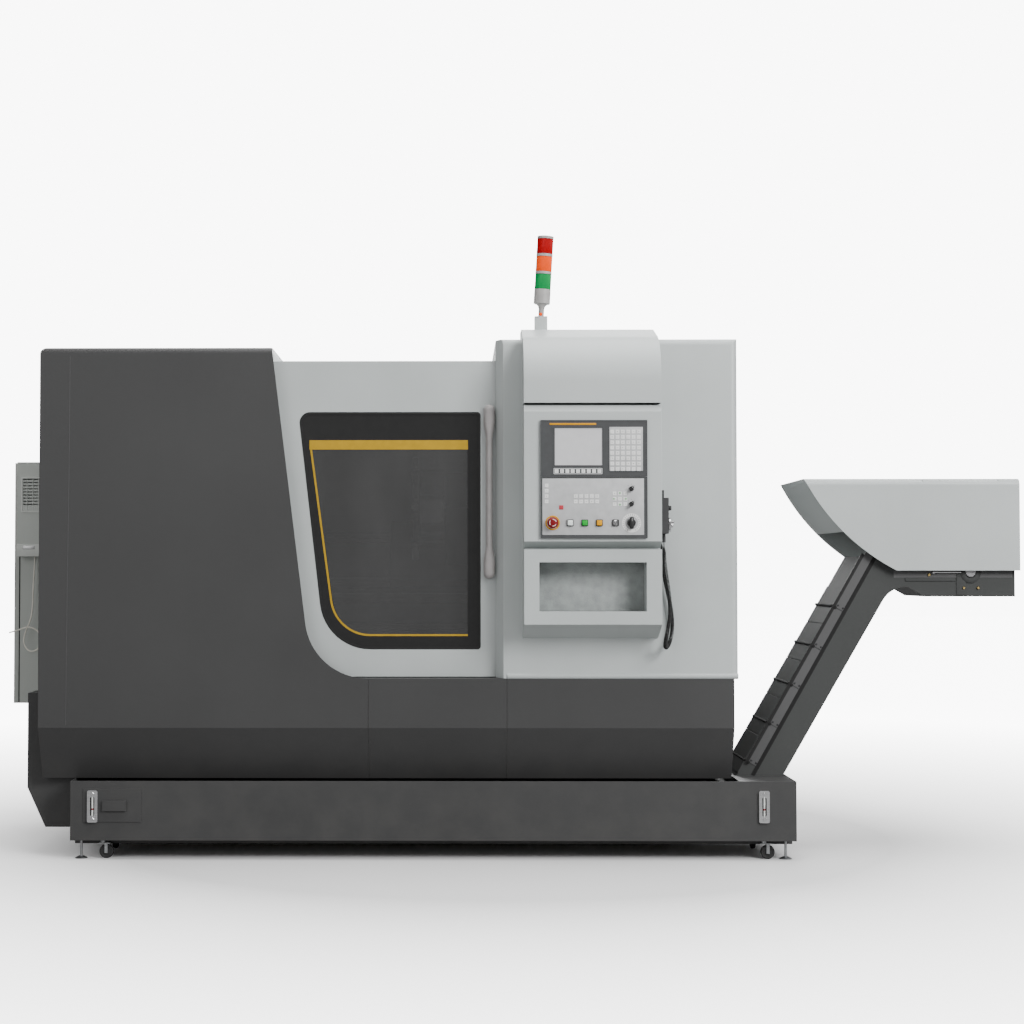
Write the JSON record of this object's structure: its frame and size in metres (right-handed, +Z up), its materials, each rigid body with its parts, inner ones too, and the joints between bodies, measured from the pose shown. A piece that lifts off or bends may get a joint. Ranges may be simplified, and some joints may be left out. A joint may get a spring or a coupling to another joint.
{
  "type": "cnc turning lathe",
  "caption": "Slant-bed CNC turning lathe with sliding door, control unit, signal tower, coolant tank on casters and an inclined chip conveyor.",
  "frame": {"origin": "middle of the machine's footprint, on the floor", "axes": "+X to the right along the spindle, +Y from the operator's side to the back, +Z up"},
  "size_m": [4.0611, 1.792, 2.4213],
  "materials": {
    "dark_paint": "satin textured dark grey enamel",
    "light_paint": "satin light grey enamel",
    "cabinet_paint": "satin grey-green enamel",
    "bed_casting": "machine grey paint over casting",
    "guide_steel": "ground steel",
    "stainless": "brushed sheet",
    "bright_steel": "polished steel",
    "window_glass": "smoked laminated glass with a dark printed border",
    "handle_grip": "satin grey bar",
    "unit_face": "matt dark grey",
    "display": "pale display behind glass",
    "membrane_keys": "matt off-white",
    "red_plastic": "gloss red",
    "white_button": "gloss white",
    "green_button": "gloss green",
    "amber_button": "gloss amber",
    "black_plastic": "matt black",
    "pendant_plastic": "matt dark grey",
    "cord_rubber": "matt black jacket",
    "hose_plastic": "translucent hose",
    "tower_grey": "pale grey with silver rings",
    "lens_red": "ribbed red lens",
    "lens_orange": "ribbed orange lens",
    "lens_green": "ribbed green lens",
    "caster_wheel": "hard dark polymer"
  },
  "bodies": {
    "machine": {"bed": "bed_casting", "floor_fittings": "guide_steel", "headstock": "bed_casting", "guide_rails": "guide_steel", "coolant_tank": "dark_paint", "tank_gauges": "bright_steel", "left_cover": "dark_paint", "lower_panels": "dark_paint", "right_cover": "light_paint", "rear_cover": "light_paint", "chamber_liner": "stainless", "control_box": "light_paint", "hood": "light_paint", "document_pocket": "light_paint", "control_unit": "unit_face", "screen": "display", "panel_keys": "membrane_keys", "conveyor_casing": "dark_paint", "conveyor_head_cover": "light_paint", "conveyor_belt": "guide_steel", "gear_motor": "bed_casting", "cabinet_body": "cabinet_paint", "cabinet_cooler": "cabinet_paint", "pendant_case": "pendant_plastic", "pendant_cord": "cord_rubber", "drain_hose": "hose_plastic"},
    "door": {"door_panel": "light_paint", "window_glass": "window_glass", "door_handle": "handle_grip"},
    "spindle": {"spindle": "bright_steel"},
    "jaw_upper": {"chuck_jaw_upper": "guide_steel"},
    "jaw_rear": {"chuck_jaw_rear": "guide_steel"},
    "jaw_front": {"chuck_jaw_front": "guide_steel"},
    "carriage": {"carriage": "bed_casting"},
    "cross_slide": {"cross_slide": "bed_casting"},
    "turret": {"turret": "bright_steel"},
    "tailstock": {"tailstock": "bed_casting"},
    "quill": {"quill": "bright_steel"},
    "conveyor_shaft": {"conveyor_head_shaft": "guide_steel"},
    "fork_front_left": {"caster_fork_front_left": "guide_steel"},
    "fork_front_right": {"caster_fork_front_right": "guide_steel"},
    "wheel_front_left": {"caster_wheel_front_left": "caster_wheel"},
    "wheel_front_right": {"caster_wheel_front_right": "caster_wheel"},
    "wheel_rear_left": {"caster_wheel_rear_left": "caster_wheel"},
    "wheel_rear_right": {"caster_wheel_rear_right": "caster_wheel"},
    "cabinet_door": {"cabinet_door": "cabinet_paint"},
    "signal_tower": {"tower_pole": "tower_grey", "lamp_red": "lens_red", "lamp_orange": "lens_orange", "lamp_green": "lens_green"},
    "emergency_stop": {"emergency_stop": "red_plastic"},
    "push_button_white": {"push_button_white": "white_button"},
    "push_button_green": {"push_button_green": "green_button"},
    "push_button_amber": {"push_button_amber": "amber_button"},
    "key_switch": {"key_switch": "black_plastic"},
    "override_knob": {"override_knob": "black_plastic"},
    "selector_upper": {"selector_upper": "black_plastic"},
    "selector_lower": {"selector_lower": "black_plastic"},
    "handwheel": {"handwheel": "bright_steel"},
    "axis_selector": {"axis_selector": "black_plastic"}
  },
  "joints": [
    {"name": "door_slide", "type": "slide", "parent": "machine", "child": "door", "axis": [-1, 0, 0], "range_m": [0, 0.74]},
    {"name": "spindle_turn", "type": "hinge", "parent": "machine", "child": "spindle", "pos_m": [0, -0.254, 1.13], "axis": [1, 0, 0], "continuous": true},
    {"name": "jaw_upper_slide", "type": "slide", "parent": "spindle", "child": "jaw_upper", "axis": [0, 0, 1], "range_m": [-0.004, 0.004]},
    {"name": "jaw_front_slide", "type": "slide", "parent": "spindle", "child": "jaw_front", "axis": [0, -0.866, -0.5], "range_m": [-0.004, 0.004]},
    {"name": "jaw_rear_slide", "type": "slide", "parent": "spindle", "child": "jaw_rear", "axis": [0, 0.866, -0.5], "range_m": [-0.004, 0.004]},
    {"name": "carriage_slide", "type": "slide", "parent": "machine", "child": "carriage", "axis": [1, 0, 0], "range_m": [-0.42, 0.22]},
    {"name": "cross_slide_travel", "type": "slide", "parent": "carriage", "child": "cross_slide", "axis": [0, -0.7071, -0.7071], "range_m": [-0.05, 0.115]},
    {"name": "turret_index", "type": "hinge", "parent": "cross_slide", "child": "turret", "pos_m": [-0.33284, -0.02065, 1.36335], "axis": [1, 0, 0], "continuous": true},
    {"name": "tailstock_slide", "type": "slide", "parent": "machine", "child": "tailstock", "axis": [1, 0, 0], "range_m": [-0.3, 0.04]},
    {"name": "quill_feed", "type": "slide", "parent": "tailstock", "child": "quill", "axis": [-1, 0, 0], "range_m": [0, 0.1]},
    {"name": "conveyor_drive", "type": "hinge", "parent": "machine", "child": "conveyor_shaft", "pos_m": [1.84184, -0.489, 1.1], "axis": [0, 1, 0], "continuous": true},
    {"name": "fork_front_left_swivel", "type": "hinge", "parent": "machine", "child": "fork_front_left", "pos_m": [-1.53384, -0.649, 0.074], "axis": [0, 0, 1], "continuous": true},
    {"name": "wheel_front_left_roll", "type": "hinge", "parent": "fork_front_left", "child": "wheel_front_left", "pos_m": [-1.51984, -0.649, 0.027], "axis": [0, 1, 0], "continuous": true},
    {"name": "fork_front_right_swivel", "type": "hinge", "parent": "machine", "child": "fork_front_right", "pos_m": [1.00216, -0.649, 0.074], "axis": [0, 0, 1], "continuous": true},
    {"name": "wheel_front_right_roll", "type": "hinge", "parent": "fork_front_right", "child": "wheel_front_right", "pos_m": [1.01616, -0.649, 0.027], "axis": [0, 1, 0], "continuous": true},
    {"name": "wheel_rear_left_roll", "type": "hinge", "parent": "machine", "child": "wheel_rear_left", "pos_m": [-1.53384, -0.365, 0.027], "axis": [1, 0, 0], "continuous": true},
    {"name": "wheel_rear_right_roll", "type": "hinge", "parent": "machine", "child": "wheel_rear_right", "pos_m": [1.00216, -0.365, 0.027], "axis": [1, 0, 0], "continuous": true},
    {"name": "cabinet_door_swing", "type": "hinge", "parent": "machine", "child": "cabinet_door", "pos_m": [-2.00884, 0.896, 1.053], "axis": [0, 0, -1], "range_deg": [0, 110]},
    {"name": "tower_fold", "type": "hinge", "parent": "machine", "child": "signal_tower", "pos_m": [0.15716, -0.514, 2.092], "axis": [0, 1, 0], "range_deg": [-90, 0]},
    {"name": "emergency_stop_press", "type": "slide", "parent": "machine", "child": "emergency_stop", "axis": [0, 1, 0], "range_m": [0, 0.0025], "stiffness_N_per_m": 1500},
    {"name": "push_button_white_press", "type": "slide", "parent": "machine", "child": "push_button_white", "axis": [0, 1, 0], "range_m": [0, 0.0025], "stiffness_N_per_m": 800},
    {"name": "push_button_green_press", "type": "slide", "parent": "machine", "child": "push_button_green", "axis": [0, 1, 0], "range_m": [0, 0.0025], "stiffness_N_per_m": 800},
    {"name": "push_button_amber_press", "type": "slide", "parent": "machine", "child": "push_button_amber", "axis": [0, 1, 0], "range_m": [0, 0.0025], "stiffness_N_per_m": 800},
    {"name": "key_switch_turn", "type": "hinge", "parent": "machine", "child": "key_switch", "pos_m": [0.41973, -0.864, 1.282], "axis": [0, 1, 0], "range_deg": [0, 90]},
    {"name": "override_knob_turn", "type": "hinge", "parent": "machine", "child": "override_knob", "pos_m": [0.4799, -0.864, 1.282], "axis": [0, 1, 0], "range_deg": [-135, 135]},
    {"name": "selector_upper_turn", "type": "hinge", "parent": "machine", "child": "selector_upper", "pos_m": [0.4799, -0.864, 1.41], "axis": [0, 1, 0], "range_deg": [-45, 45]},
    {"name": "selector_lower_turn", "type": "hinge", "parent": "machine", "child": "selector_lower", "pos_m": [0.4799, -0.864, 1.353], "axis": [0, 1, 0], "range_deg": [-45, 45]},
    {"name": "handwheel_turn", "type": "hinge", "parent": "machine", "child": "handwheel", "pos_m": [0.62516, -0.7765, 1.27675], "axis": [1, 0, 0], "continuous": true},
    {"name": "axis_selector_turn", "type": "hinge", "parent": "machine", "child": "axis_selector", "pos_m": [0.62516, -0.7765, 1.3402], "axis": [1, 0, 0], "range_deg": [0, 150]}
  ],
  "couplings": [
    {"joint": "jaw_rear_slide", "follows": "jaw_upper_slide", "ratio": 1},
    {"joint": "jaw_front_slide", "follows": "jaw_upper_slide", "ratio": 1}
  ]
}
